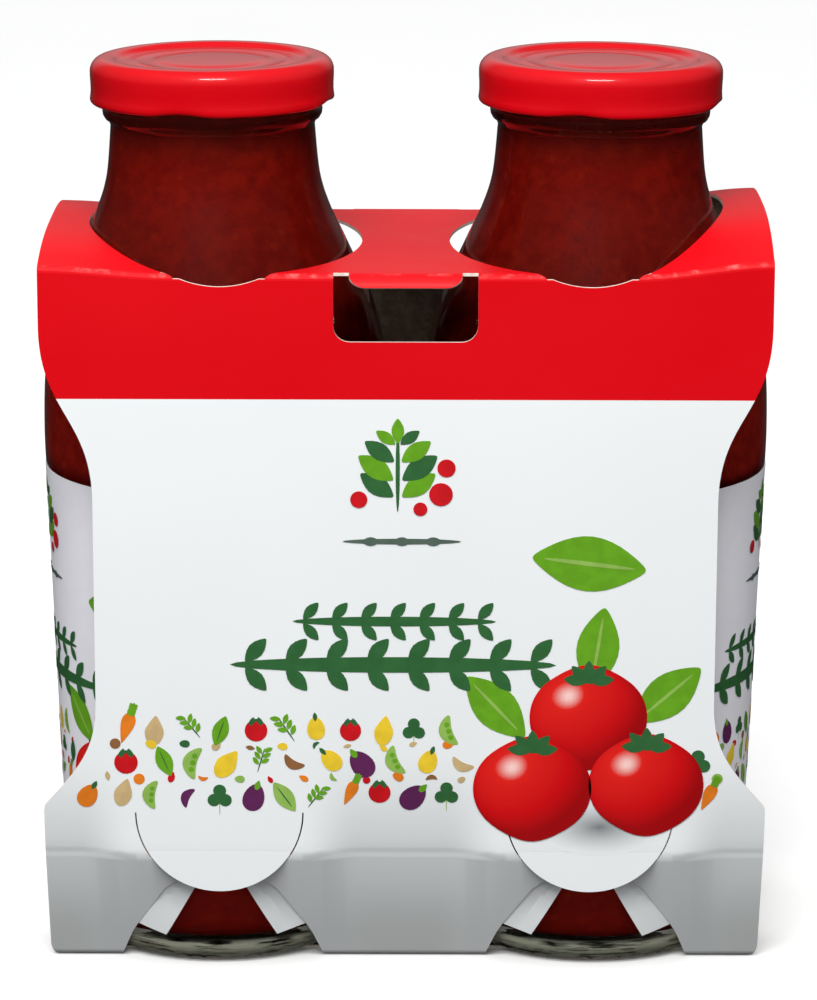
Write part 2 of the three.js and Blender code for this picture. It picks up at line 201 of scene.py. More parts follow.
def printed_card():
    """Coated board, red over white, with scuffed top folds and a fine fibre grain; painted shade draws a
    grey line along the lower crease and darkens the slope towards its foot.
    """
    card = Finish("printed_card", **COATED)
    axes = card.node("SeparateXYZ", Vector=card.place)
    depth = card.math("ABSOLUTE", axes.outputs["Y"])
    height = axes.outputs["Z"]
    across = card.math("ABSOLUTE", axes.outputs["X"])
    from_tab = card.math("ABSOLUTE", card.math("SUBTRACT", across, HEEL_X * MM))
    start, end = FOLD_LIFT_START_X * MM, FOOT_HALF_WIDTH * MM
    right = card.ramp(axes.outputs["X"], start, end, 0.0, RIGHT_FOLD_LIFT * MM)
    left = card.ramp(axes.outputs["X"], -end, -start, LEFT_FOLD_LIFT * MM, 0.0)
    cloud = card.noise(28.0, 4.0)
    fleck = card.noise(900.0, 2.0)
    red = card.mix(cloud, srgb(212, 2, 15), srgb(220, 4, 19))
    white = card.mix(cloud, *BOARD_WHITE)
    over = card.ramp(height, (RED_FROM_Z - 0.06) * MM, (RED_FROM_Z + 0.06) * MM)
    base = card.mix(over, white, red)
    to_side = card.math("ABSOLUTE", card.math("SUBTRACT", depth, (HALF_DEPTH - 0.5) * MM))
    top = card.math("ADD", card.math("ADD", left, right), (TOP_Z - 0.5) * MM)
    to_top = card.math("ABSOLUTE", card.math("SUBTRACT", height, top))
    to_crease = card.math("ABSOLUTE", card.math("SUBTRACT", height, CREASE_Z * MM))
    top_fold = card.ramp(card.math("ADD", to_side, to_top), 0.3 * MM, 1.1 * MM, 1.0, 0.0)
    painted_crease_shade = card.ramp(card.math("ADD", to_side, to_crease), 0.3 * MM, 1.4 * MM, 1.0, 0.0)
    scuff = card.math("MULTIPLY", card.ramp(card.noise(260.0, 5.0, 0.7), 0.48, 0.7), 0.2)
    base = card.mix(card.math("MULTIPLY", top_fold, scuff), base, srgb(240, 205, 200))
    # Painted shade: a thin grey line along the lower crease, kept off the flat tabs, stands for the shade
    # where the panel bends.
    beside = card.ramp(from_tab, (TAB_RADIUS - 0.6) * MM, (TAB_RADIUS + 0.2) * MM, 0.0, 0.35)
    base = card.mix(card.math("MULTIPLY", painted_crease_shade, beside), base, srgb(176, 178, 178))
    # Painted shade: the slope below the crease is darkened towards its foot, away from the tabs, for the
    # shade on this downward-facing panel.
    low_down = card.ramp(height, 5 * MM, CREASE_Z * MM, 1.0, 0.0)
    painted_slope_shade = card.math("MULTIPLY", low_down, card.ramp(from_tab, 13 * MM, 30 * MM, 0.0, 0.42))
    base = card.mix(painted_slope_shade, base, srgb(158, 160, 156))
    card.colour(base)
    card.rough(card.ramp(cloud, 0.3, 0.7, 0.36, 0.46))
    card.bump(fleck, 0.02 * MM, 0.35)
    return card.material


def raw_card(name, light, dark, scale):
    """Uncoated board: fibres and flecks."""
    card = Finish(name)
    card.colour(card.mix(card.ramp(card.noise(scale, 6.0, 0.7), 0.35, 0.65), dark, light))
    card.rough(card.ramp(card.noise(60.0), 0.3, 0.7, 0.8, 0.92))
    card.bump(card.noise(scale * 1.5, 4.0), 0.05 * MM, 0.5)
    return card.material


def ink(name, colour):
    """Printing ink with a slight unevenness."""
    film = Finish(name, **COATED)
    dark = tuple(c * 0.86 for c in colour[:3]) + (1.0,)
    film.colour(film.mix(film.ramp(film.noise(420.0, 3.0), 0.3, 0.7), dark, colour))
    film.rough(film.ramp(film.noise(90.0), 0.3, 0.7, 0.36, 0.46))
    return film.material


def shaded_red_ink():
    """Red ink whose depth of tone is carried by the print itself."""
    film = Finish("tomato_ink", **COATED)
    tone = film.node("Attribute", {"attribute_name": "tone"}).outputs["Fac"]
    ramp = film.node("ValToRGB", Fac=tone)
    stops = ramp.color_ramp.elements
    stops[0].color, stops[1].color = srgb(132, 4, 8), srgb(253, 216, 208)
    for position, colour in ((0.35, srgb(204, 10, 16)), (0.62, srgb(226, 34, 28))):
        stops.new(position).color = colour
    film.colour(ramp.outputs["Color"])
    film.rough(film.ramp(film.noise(90.0), 0.3, 0.7, 0.36, 0.46))
    return film.material


def fading_grey_ink():
    """Grey ink that fades into white."""
    film = Finish("shadow_ink", **COATED)
    tone = film.node("Attribute", {"attribute_name": "tone"}).outputs["Fac"]
    white = film.mix(film.noise(28.0, 4.0), *BOARD_WHITE)
    film.colour(film.mix(tone, white, srgb(120, 124, 126)))
    film.rough(film.ramp(film.noise(28.0, 4.0), 0.3, 0.7, 0.36, 0.46))
    return film.material


def clear_glass():
    """Clear glass, greener in the thick foot, with paler milky streaks painted into the foot to stand for
    the light seen in the thick base.
    """
    glass = Finish("clear_glass", Transmission_Weight=1.0, IOR=1.5, Roughness=0.015)
    height = glass.node("SeparateXYZ", Vector=glass.place).outputs["Z"]
    thick = glass.ramp(height, 4.0 * MM, 9.0 * MM, 1.0, 0.0)
    glass.colour(glass.mix(thick, (0.96, 0.985, 0.965, 1.0), (0.52, 0.53, 0.40, 1.0)))
    flat = glass.node("Mapping", Vector=glass.place, Scale=(1.0, 1.0, 7.0)).outputs["Vector"]
    streaks = glass.ramp(glass.node("TexNoise", Vector=flat, Scale=150.0).outputs["Fac"], 0.32, 0.6)
    # Painted light: in the thick foot, grey-green streaks take over part of the transmission, standing for
    # the light seen in the thick glass base.
    foot = glass.ramp(height, 4.2 * MM, 5.6 * MM, 0.75, 0.0)
    painted_foot_streaks = glass.math("MULTIPLY", foot, streaks)
    glass.feed(glass.shader.inputs["Transmission Weight"], glass.math("SUBTRACT", 1.0, painted_foot_streaks))
    glass.bump(glass.math("ADD", glass.noise(75.0, 2.0), painted_foot_streaks), 0.1 * MM, 0.16)
    return glass.material


def thick_passata():
    """Dark red sauce with pulp and a few pale seeds in it, with painted shade darkening it under the lid
    and towards the foot.
    """
    sauce = Finish("thick_passata", Specular_IOR_Level=0.02)
    pulp = sauce.noise(320.0, 5.0, 0.65)
    upright = sauce.node("Mapping", Vector=sauce.place, Scale=(1.0, 1.0, 0.22)).outputs["Vector"]
    cloud = sauce.node("TexNoise", Vector=upright, Scale=90.0, Detail=3.0).outputs["Fac"]
    base = sauce.mix(sauce.ramp(pulp, 0.32, 0.7), srgb(127, 14, 6), srgb(150, 25, 10))
    base = sauce.mix(sauce.ramp(cloud, 0.4, 0.75, 0.0, 0.4), base, srgb(128, 22, 10))
    cells = sauce.node("TexVoronoi", Vector=sauce.place, Scale=210.0).outputs["Distance"]
    base = sauce.mix(sauce.ramp(cells, 0.1, 0.2, 0.25, 0.0), base, srgb(168, 46, 20))
    height = sauce.node("SeparateXYZ", Vector=sauce.place).outputs["Z"]
    # Painted shade: the sauce is darkened at the top, where the lid shades it.
    base = sauce.mix(sauce.ramp(height, 151.0 * MM, 162.0 * MM, 0.0, 0.8), base, srgb(52, 12, 6))
    # Painted shade: the sauce is darkened towards the foot, where it lies in shade.
    base = sauce.mix(sauce.ramp(height, 8.0 * MM, 30.0 * MM, 0.5, 0.0), base, srgb(72, 8, 4))
    sauce.colour(base)
    sauce.rough(sauce.ramp(pulp, 0.3, 0.7, 0.34, 0.52))
    sauce.bump(pulp, 0.25 * MM, 0.5)
    return sauce.material


def label_paper():
    """White coated paper with a fine tooth."""
    paper = Finish("label_paper", Coat_Weight=0.1, Coat_Roughness=0.3)
    paper.colour(paper.mix(paper.noise(300.0, 5.0), srgb(238, 237, 245), srgb(247, 246, 252)))
    paper.rough(paper.ramp(paper.noise(70.0), 0.3, 0.7, 0.5, 0.62))
    paper.bump(paper.noise(1100.0, 2.0), 0.02 * MM, 0.4)
    return paper.material


def red_lacquer():
    """Baked red lacquer on tinplate, a little uneven and handled."""
    lacquer = Finish("red_lacquer", Specular_IOR_Level=0.3, Coat_Weight=1.0, Coat_Roughness=0.07)
    cloud = lacquer.noise(55.0, 4.0)
    lacquer.colour(lacquer.mix(cloud, srgb(200, 1, 13), srgb(208, 1, 17)))
    smear = lacquer.noise(130.0, 5.0, 0.7)
    lacquer.rough(lacquer.ramp(smear, 0.2, 0.8, 0.3, 0.38))
    lacquer.bump(lacquer.noise(240.0, 2.0), 0.01 * MM, 0.3)
    return lacquer.material


def pale_floor():
    """A matt white table top."""
    floor = Finish("pale_floor", Specular_IOR_Level=0.1)
    floor.colour(floor.mix(floor.noise(6.0), srgb(250, 250, 249), srgb(252, 252, 251)))
    floor.rough(floor.ramp(floor.noise(9.0), 0.3, 0.7, 0.85, 0.95))
    return floor.material


PRINT = printed_card()
INSIDE = raw_card("board_inside", srgb(150, 132, 112), srgb(118, 100, 82), 420.0)
EDGE = raw_card("board_edge", srgb(238, 230, 220), srgb(216, 204, 190), 900.0)
GLASS = clear_glass()
SAUCE = thick_passata()
PAPER = label_paper()
LACQUER = red_lacquer()
INK_COLOURS = {
    "deep_green": srgb(52, 104, 58), "leaf_green": srgb(104, 166, 34), "pale_green": srgb(146, 186, 88),
    "grey_green": srgb(86, 104, 92), "cherry_red": srgb(206, 24, 32), "orange": srgb(232, 128, 34),
    "yellow": srgb(240, 204, 52), "tan": srgb(206, 178, 128), "brown": srgb(146, 100, 62),
    "plum": srgb(98, 40, 88),
}
INKS = [ink(name, colour) for name, colour in INK_COLOURS.items()] + [shaded_red_ink(), fading_grey_ink()]
INK_INDEX = {name: i for i, name in enumerate([*INK_COLOURS, "tomato", "shadow"])}


# Making and finishing pieces

def into_scene(bm, name, finishes):
    """An object of a shape, with its finishes in order."""
    mesh = bpy.data.meshes.new(name)
    bm.to_mesh(mesh)
    bm.free()
    for finish in finishes:
        mesh.materials.append(finish)
    obj = bpy.data.objects.new(name, mesh)
    bpy.context.scene.collection.objects.link(obj)
    return obj


def finished(bm, name, finishes, node=None, smooth=30.0):
    """Brings a piece to metres, smooths it and sets it on the part's body."""
    bmesh.ops.scale(bm, vec=(MM, MM, MM), verts=bm.verts)
    obj = into_scene(bm, name, finishes)
    obj.data.polygons.foreach_set("use_smooth", [True] * len(obj.data.polygons))
    obj.data.set_sharp_from_angle(angle=math.radians(smooth))
    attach(obj, "root")
    if node:
        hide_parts(node)


def carve(obj, cutters):
    """Cuts closed shapes out of a piece. The cut faces take the cutters' finish."""
    for bm in cutters:
        cutter = into_scene(bm, "cutter", [EDGE])
        cut = obj.modifiers.new("cut", "BOOLEAN")
        cut.object = cutter
        cut.operation = "DIFFERENCE"
        cut.solver = "EXACT"
        cut.material_mode = "TRANSFER"
        mesh = bpy.data.meshes.new_from_object(obj.evaluated_get(bpy.context.evaluated_depsgraph_get()))
        obj.modifiers.clear()
        obj.data = mesh
        bpy.data.objects.remove(cutter)


def face_out(bm):
    """Turns every face of a closed shape outwards."""
    bmesh.ops.recalc_face_normals(bm, faces=bm.faces)
    if bm.calc_volume(signed=True) < 0:
        bmesh.ops.reverse_faces(bm, faces=bm.faces)


def through_y(u, v, w):
    return Vector((u, w, v))


def through_z(u, v, w):
    return Vector((u, v, w))


def whole(bm):
    return bm.verts[:] + bm.edges[:] + bm.faces[:]


def push(bm, way):
    """Draws a flat face out into a block."""
    grown = bmesh.ops.extrude_face_region(bm, geom=bm.faces[:])["geom"]
    moved = [g for g in grown if isinstance(g, bmesh.types.BMVert)]
    bmesh.ops.translate(bm, verts=moved, vec=way)


def prism(outline, way, low, high):
    """A closed block: an outline in two axes, pushed along the third."""
    bm = bmesh.new()
    bm.faces.new([bm.verts.new(way(u, v, low)) for u, v in outline])
    push(bm, way(0, 0, high) - way(0, 0, low))
    face_out(bm)
    return bm


def oval(x, y, half_x, half_y, count=96):
    turns = (2 * math.pi * i / count for i in range(count))
    return [(x + half_x * math.cos(t), y + half_y * math.sin(t)) for t in turns]


def mirrored(bm, axis):
    """The same shape on the other side of the pack."""
    other = bm.copy()
    bmesh.ops.scale(other, vec=[-1 if i == axis else 1 for i in range(3)], verts=other.verts)
    bmesh.ops.reverse_faces(other, faces=other.faces)
    return other


def turned(profile, steps):
    """A profile of radius and height spun round the upright axis."""
    bm = bmesh.new()
    verts = [bm.verts.new((r, 0, z)) for r, z in profile]
    edges = [bm.edges.new(pair) for pair in zip(verts, verts[1:])]
    bmesh.ops.spin(bm, geom=verts + edges, cent=(0, 0, 0), axis=(0, 0, 1), angle=2 * math.pi,
                   steps=steps, use_merge=True)
    bmesh.ops.remove_doubles(bm, verts=bm.verts, dist=1e-4)
    face_out(bm)
    return bm


def stood(bm, side):
    """Moves a bottle's piece from its own axis to its place in the pack."""
    place = Matrix.Translation((side * FOOT_X, 0, FOOT_Z)) @ Matrix.Rotation(side * LEAN, 4, "Y")
    bmesh.ops.transform(bm, matrix=place, verts=bm.verts)
    return bm


# Bottle profiles

def spline(stations, pieces):
    """A smooth curve through the stations, with a number of pieces between each two."""
    points = [Vector(s) for s in stations]
    last = len(points) - 1
    curve = []
    for i in range(last):
        before, start, end, after = (points[min(max(k, 0), last)] for k in (i - 1, i, i + 1, i + 2))
        leave, arrive = (end - before) / 2, (after - start) / 2
        for k in range(pieces):
            t = k / pieces
            curve.append((2 * t**3 - 3 * t**2 + 1) * start + (t**3 - 2 * t**2 + t) * leave
                         + (3 * t**2 - 2 * t**3) * end + (t**3 - t**2) * arrive)
    return curve + [points[-1]]


BODY = spline(BODY_STATIONS, 8)


def body_radius(z):
    """The outside of the glass at a height above the foot."""
    for low, high in zip(BODY, BODY[1:]):
        if z <= high.y:
            return low.x + (high.x - low.x) * (z - low.y) / (high.y - low.y)
    return BODY[-1].x


def smoothstep(value, low, high):
    t = min(max((value - low) / (high - low), 0), 1)
    return t * t * (3 - 2 * t)


def wall_at(z):
    """How thick the glass is at a height."""
    return WALL + (NECK_WALL - WALL) * smoothstep(z, SHOULDER_Z, NECK_Z)


def inside_profile(reach):
    """The inner wall from the middle of the floor up to the neck, reaching into the glass a little."""
    floor, corner = FLOOR_THICKNESS - reach, FLOOR_CORNER
    middle = body_radius(floor + corner) - wall_at(0) + reach - corner
    points = [(0.0, floor + 0.5), (12.0, floor + 0.25)]
    for i in range(9):
        turn = -math.pi / 2 * (1 - i / 8)
        points.append((middle + corner * math.cos(turn), floor + corner * (1 + math.sin(turn))))
    points += [(p.x - wall_at(p.y) + reach, p.y) for p in BODY if p.y > FLOOR_CORNER_TOP_Z]
    return points


# Carton

def top_lift(x, y):
    """How far the top rises towards its ends: a little on the folds, and more in the bow between."""
    left, right = (LEFT_BOW_LIFT, LEFT_FOLD_LIFT), (RIGHT_BOW_LIFT, RIGHT_FOLD_LIFT)
    bow_lift, fold_lift = left if x < 0 else right
    on_fold = fold_lift * smoothstep(abs(x), FOLD_LIFT_START_X, FOOT_HALF_WIDTH)
    between = bow_lift * smoothstep(abs(x), BOW_START_X, FOOT_HALF_WIDTH)
    bow = 1 - min(1, abs(y / (HALF_DEPTH - FOLD_REACH))) ** 3
    return on_fold + (between - on_fold) * bow


def foot_bend(x, z):
    """How far the panel leans in towards the crease, beside the flat half-round tabs."""
    above = max(0, (BEND_FROM_Z - z) / (BEND_FROM_Z - CREASE_Z)) ** 2
    lean = above if z > CREASE_Z else z / CREASE_Z
    return BEND_DEPTH * lean * smoothstep(abs(abs(x) - HEEL_X), TAB_RADIUS, TAB_RADIUS + 11)


def folded_sleeve():
    """The card wrapped round the bottles: one section carried along the pack, then bowed and bent."""
    bm = bmesh.new()
    side = [(HALF_DEPTH, CREASE_Z + i * (BEND_FROM_Z - CREASE_Z) / 6) for i in range(1, 7)]
    right = [(BOTTOM_HALF_DEPTH, 0), (HALF_DEPTH, CREASE_Z), *side, (HALF_DEPTH, TOP_Z)]
    ring = right + [(-y, z) for y, z in reversed(right)]
    verts = [bm.verts.new((-FOOT_HALF_WIDTH, y, z)) for y, z in ring]
    bm.faces.new(verts)
    folds = [v for v in verts if not CREASE_Z < v.co.z < TOP_Z]
    bmesh.ops.bevel(bm, geom=folds, offset=FOLD_REACH, affect="VERTICES", segments=5, profile=0.5,
                    material=-1)
    bmesh.ops.delete(bm, geom=bm.faces[:], context="FACES_ONLY")
    top = [e for e in bm.edges if min(v.co.z for v in e.verts) > TOP_Z - 1e-3]
    bmesh.ops.subdivide_edges(bm, edges=top, cuts=23)
    steps = 136
    bmesh.ops.spin(bm, geom=bm.verts[:] + bm.edges[:], cent=(0, 0, 0), axis=(1, 0, 0), angle=0,
                   steps=steps, dvec=(2 * FOOT_HALF_WIDTH / steps, 0, 0))
    bmesh.ops.remove_doubles(bm, verts=bm.verts, dist=1e-4)
    for vert in bm.verts:
        x, y, z = vert.co
        if z > TOP_Z - 1.5 * FOLD_REACH:
            vert.co.z += top_lift(x, y)
        elif abs(y) > BOTTOM_HALF_DEPTH:
            vert.co.y -= math.copysign(foot_bend(x, z), y)
    bmesh.ops.recalc_face_normals(bm, faces=bm.faces)
    bmesh.ops.solidify(bm, geom=bm.faces[:], thickness=BOARD)
    face_out(bm)
    dress(bm, lambda middle: Vector((0, middle.y / 34, (middle.z - 70) / 68)).normalized())
    return bm


def dress(bm, outwards):
    """Print on the outside of the board, bare board inside, and pale fibre on its edges."""
    bm.normal_update()
    for face in bm.faces:
        facing = face.normal.dot(outwards(face.calc_center_median()))
        face.material_index = 0 if facing > 0.45 else 1 if facing < -0.45 else 2


def end_trim():
    """What is trimmed off one end: beside the ears, in at the waist, and out to the foot."""
    clear, above = FOOT_HALF_WIDTH + 5, TOP_Z + 24
    ear = interpolate_bezier((EAR_HALF_WIDTH, EAR_LOW_Z), (EAR_HALF_WIDTH, 110), (WAIST_HALF_WIDTH, 109),
                             (WAIST_HALF_WIDTH, WAIST_TOP_Z), 24)
    foot = interpolate_bezier((WAIST_HALF_WIDTH, WAIST_LOW_Z), (WAIST_HALF_WIDTH, 45), (61.5, 41),
                              (FOOT_HALF_WIDTH - 0.6, FOOT_TOP_Z), 20)
    corner = interpolate_bezier((FOOT_HALF_WIDTH - 0.6, FOOT_TOP_Z), (FOOT_HALF_WIDTH - 0.2, 34.0),
                                (FOOT_HALF_WIDTH, 33.4), (FOOT_HALF_WIDTH, FOOT_CORNER_Z), 6)
    curve = [tuple(p)[:2] for p in [*ear, *foot, *corner[1:]]]
    outline = [(clear, above), (EAR_HALF_WIDTH, above), *curve, (clear, FOOT_CORNER_Z)]
    return prism(outline, through_y, -CUT_REACH, CUT_REACH)


def low_corner_trim():
    """Rounds the corner at the foot of the slope."""
    side = FOOT_HALF_WIDTH
    corner = interpolate_bezier((side - 1.8, -0.1), (side - 0.6, 0.2), (side, 1.2), (side, 3.2), 8)
    curve = [tuple(p)[:2] for p in corner]
    outline = [*curve, (side + 5, 3.2), (side + 5, -1), (side - 1.8, -1)]
    return prism(outline, through_y, -CUT_REACH, CUT_REACH)


def neck_hole():
    """An oval in the sheet, cut down through the top and carried on round the fold into the panel."""
    flat = oval(NECK_HOLE_X, 0, NECK_HOLE_HALF_WIDTH, NECK_HOLE_HALF_LENGTH)
    flat_depth = HALF_DEPTH - FOLD_REACH
    from_turn = math.asin(flat_depth / NECK_HOLE_HALF_LENGTH)
    rolled = [(NECK_HOLE_HALF_WIDTH * math.cos(from_turn), TOP_Z + 1)]
    for i in range(33):
        turn = from_turn + (math.pi / 2 - from_turn) * i / 32
        along = NECK_HOLE_HALF_LENGTH * math.sin(turn) - flat_depth
        fold = min(along / FOLD_REACH, math.pi / 2)
        down = FOLD_REACH * (1 - math.cos(fold)) + max(0, along - FOLD_REACH * math.pi / 2)
        rolled.append((NECK_HOLE_HALF_WIDTH * math.cos(turn), TOP_Z - down))
    near = [(NECK_HOLE_X - x, z) for x, z in rolled[:-1]]
    far = [(NECK_HOLE_X + x, z) for x, z in reversed(rolled)]
    front = prism(near + far, through_y, -HALF_DEPTH - 1, -flat_depth)
    return prism(flat, through_z, TOP_Z - BOARD - 0.4, TOP_Z + 15), front


def finger_slot():
    """The finger slot in the front panel, open up to the fold."""
    bm = bmesh.new()
    side = SLOT_HALF_WIDTH
    face = bm.faces.new([bm.verts.new((x, -HALF_DEPTH - 1, z)) for x, z in (
        (-side, SLOT_TOP_Z), (-side, SLOT_LOW_Z), (side, SLOT_LOW_Z), (side, SLOT_TOP_Z))])
    low = [v for v in face.verts if v.co.z < SLOT_LOW_Z + 1]
    high = [v for v in face.verts if v.co.z > SLOT_TOP_Z - 1]
    bmesh.ops.bevel(bm, geom=low, offset=SLOT_CORNER, affect="VERTICES", segments=6, profile=0.5,
                    material=-1)
    bmesh.ops.bevel(bm, geom=high, offset=0.7, affect="VERTICES", segments=3, profile=0.5, material=-1)
    push(bm, (0, 1 + FOLD_REACH, 0))
    face_out(bm)
    return bm


def heel_opening(x):
    """Where a heel comes through the slope: the hole the tab leaves, and the notch below it."""
    fall = CREASE_Z / math.hypot(CREASE_Z, HALF_DEPTH - BOTTOM_HALF_DEPTH)
    middle = CREASE_Z + (TAB_CENTRE_Z - CREASE_Z) * fall
    around = oval(x, middle, TAB_RADIUS, TAB_RADIUS * fall, 120)
    below = sorted((u, v) for u, v in around if v < CREASE_Z)
    edge = [(6, 20), (10.6, 16.4), (16.0, 8.0), (17.2, 5.8), (19.9, -1)]
    heel = [(x - dx, z) for dx, z in edge] + [(x + dx, z) for dx, z in reversed(edge)]
    front, reach = -HALF_DEPTH - 1, -BOTTOM_HALF_DEPTH + HEEL_NOTCH_IN
    return prism(below, through_y, front, reach), prism(heel, through_y, front, reach)


def tab_slits(x):
    """The two short cuts above the crease where the half-round tab meets the panel."""
    slits = []
    low = math.asin((TAB_CENTRE_Z - CREASE_Z + 0.3) / TAB_RADIUS)
    for start, stop in ((math.pi, math.pi + low), (2 * math.pi - low, 2 * math.pi)):
        turns = [start + (stop - start) * i / 10 for i in range(11)]
        ring = [(TAB_RADIUS, t) for t in turns] + [(TAB_RADIUS - TAB_SLIT, t) for t in reversed(turns)]
        outline = [(x + r * math.cos(t), TAB_CENTRE_Z + r * math.sin(t)) for r, t in ring]
        slits.append(prism(outline, through_y, -HALF_DEPTH - 1, -HALF_DEPTH + 1.2 * BOARD))
    return slits


def half_round_tab(x):
    """The half-round tab that stays upright in front of the heel."""
    radius = TAB_RADIUS - TAB_SLIT
    bm = prism(oval(x, TAB_CENTRE_Z, radius, radius), through_y, -HALF_DEPTH, -HALF_DEPTH + BOARD)
    bmesh.ops.bisect_plane(bm, geom=whole(bm), plane_co=(0, 0, CREASE_Z + 0.9), plane_no=(0, 0, 1),
                           clear_outer=True)
    bmesh.ops.holes_fill(bm, edges=bm.edges[:])
    face_out(bm)
    dress(bm, lambda middle: Vector((0, -1, 0)))
    return bm


def drooping_lip():
    """The lip that carries on from the top panel and rolls down over the slot."""
    bm = bmesh.new()
    side, end = LIP_HALF_WIDTH, LIP_LENGTH
    face = bm.faces.new([bm.verts.new((x, s, 0)) for x, s in (
        (-side, 0), (-side, end), (side, end), (side, 0))])
    far = [v for v in face.verts if v.co.y > 1]
    bmesh.ops.bevel(bm, geom=far, offset=LIP_CORNER, affect="VERTICES", segments=7, profile=0.5,
                    material=-1)
    push(bm, (0, 0, BOARD))
    for i in range(1, 12):
        bmesh.ops.bisect_plane(bm, geom=whole(bm), plane_co=(0, end * i / 12, 0), plane_no=(0, 1, 0))
    for vert in bm.verts:
        x, s, under = vert.co
        radius, turn = LIP_BEND_RADIUS - under, s / LIP_BEND_RADIUS
        vert.co = (x, -HALF_DEPTH + FOLD_REACH - radius * math.sin(turn),
                   TOP_Z - LIP_BEND_RADIUS + radius * math.cos(turn))
    face_out(bm)
    centre = Vector((0, -HALF_DEPTH + FOLD_REACH, TOP_Z - LIP_BEND_RADIUS))
    dress(bm, lambda middle: Vector((0, middle.y - centre.y, middle.z - centre.z)).normalized())
    return bm


def slope_y(z):
    """Where the outside of the front slope lies at a height."""
    return -(BOTTOM_HALF_DEPTH + (HALF_DEPTH - BOTTOM_HALF_DEPTH) * z / CREASE_Z)


def heel_flap(x, side, axis_x):
    """A strip of card beside the heel, bent out so that it lies against the glass."""
    def on_glass(dx, z):
        across = x + side * dx - axis_x
        reach = body_radius(z - FOOT_Z) + FLAP_CLEAR
        return Vector((x + side * dx, -math.sqrt(reach**2 - across**2), z))

    def on_slope(dx, z):
        return Vector((x + side * dx, slope_y(z) + BOARD / 2, z))

    crease = [on_slope(9.4, 19.0), on_slope(16.2, 7.9)]
    free = [on_glass(3.1, 20.0), on_glass(10.6, 6.2)]
    bm = bmesh.new()
    bmesh.ops.create_grid(bm, x_segments=8, y_segments=8, size=0.5)
    for vert in bm.verts:
        u, v = vert.co.x + 0.5, vert.co.y + 0.5
        spot = crease[0].lerp(crease[1], v).lerp(free[0].lerp(free[1], v), u)
        across = spot.x - axis_x
        reach = body_radius(spot.z - FOOT_Z) + FLAP_CLEAR
        if math.hypot(across, spot.y) < reach:
            spot.y = -math.sqrt(reach**2 - across**2)
        vert.co = spot
    face_out(bm)
    if sum(f.normal.y for f in bm.faces) < 0:
        bmesh.ops.reverse_faces(bm, faces=bm.faces)
    bmesh.ops.solidify(bm, geom=bm.faces[:], thickness=-FLAP_BOARD)
    face_out(bm)
    dress(bm, lambda middle: Vector((middle.x - axis_x, middle.y, -6)).normalized())
    return bm


def together(parts):
    """One mesh of several shapes that do not touch."""
    bm = bmesh.new()
    for part in parts:
        loose = bpy.data.meshes.new("part")
        part.to_mesh(loose)
        part.free()
        bm.from_mesh(loose)
        bpy.data.meshes.remove(loose)
    return bm


def on_all_sides(shapes, axes):
    """The shapes and their mirror images across each axis given."""
    for axis in axes:
        shapes = shapes + [mirrored(shape, axis) for shape in shapes]
    return shapes


def make_carton():
    """The folded sleeve with everything cut out of it, and the lips, tabs and flaps set on."""
    shell = into_scene(folded_sleeve(), "carton_shell", [PRINT, INSIDE, EDGE])
    flat_hole, fold_hole = neck_hole()
    tab_hole, heel_hole = heel_opening(HEEL_X)
    ends = on_all_sides([end_trim(), flat_hole], [0]) + on_all_sides([finger_slot()], [1])
    carve(shell, [together(ends + on_all_sides([tab_hole], [0, 1])),
                  together(on_all_sides([fold_hole, heel_hole, *tab_slits(HEEL_X)], [0, 1])),
                  together(on_all_sides([low_corner_trim()], [0]))])
    bm = bmesh.new()
    bm.from_mesh(shell.data)
    bpy.data.objects.remove(shell)
    bmesh.ops.dissolve_degenerate(bm, edges=bm.edges[:], dist=1e-4)
    bits = [drooping_lip()]
    for end in (-1, 1):
        x, axis_x = end * HEEL_X, end * FOOT_X
        bits += [half_round_tab(x), heel_flap(x, -1, axis_x), heel_flap(x, 1, axis_x)]
    carton = together([bm, *on_all_sides(bits, [1])])
    finished(carton, "carton", [PRINT, INSIDE, EDGE], "carrier_carton", smooth=8.0)


# Print: simple shapes in plain inks

def leaf(x, y):
    return (0.5 * x * (1 - 0.55 * y * y), y)


def drop(x, y):
    return (0.62 * x * (1 - 0.62 * max(0, y)), y)


def root(x, y):
    return (0.36 * x * (1.05 + 0.7 * y), y)


def bean(x, y):
    return (0.42 * x + 0.45 * y * y - 0.2, y)


def disc(x, y):
    return (x, y)


def egg(x, y):
    return (0.74 * x * (1 - 0.16 * y), y)


def bar(x, y):
    return (0.05 * x, y)


def inked(verts, colour):
    for face in {f for v in verts for f in v.link_faces}:
        face.material_index = INK_INDEX[colour]


def rounded(u, v):
    """A place in a square grid, moved so that the grid becomes a disc."""
    return u * math.sqrt(1 - v * v / 2), v * math.sqrt(1 - u * u / 2)


def stamp(bm, colour, shape, x, y, size, turn=0.0, layer=1, count=22):
    """Puts one shape on the sheet, from a circle that is pulled into form."""
    verts = bmesh.ops.create_circle(bm, cap_ends=True, radius=1.0, segments=count)["verts"]
    for vert in verts:
        vert.co.xy = shape(vert.co.x, vert.co.y)
    lift = INK_LIFT * layer + INK_STAGGER * (len(bm.faces) % 19)
    place = Matrix.Translation((x, y, lift)) @ Matrix.Rotation(turn, 4, "Z") @ Matrix.Scale(size, 4)
    bmesh.ops.transform(bm, matrix=place, verts=verts)
    inked(verts, colour)


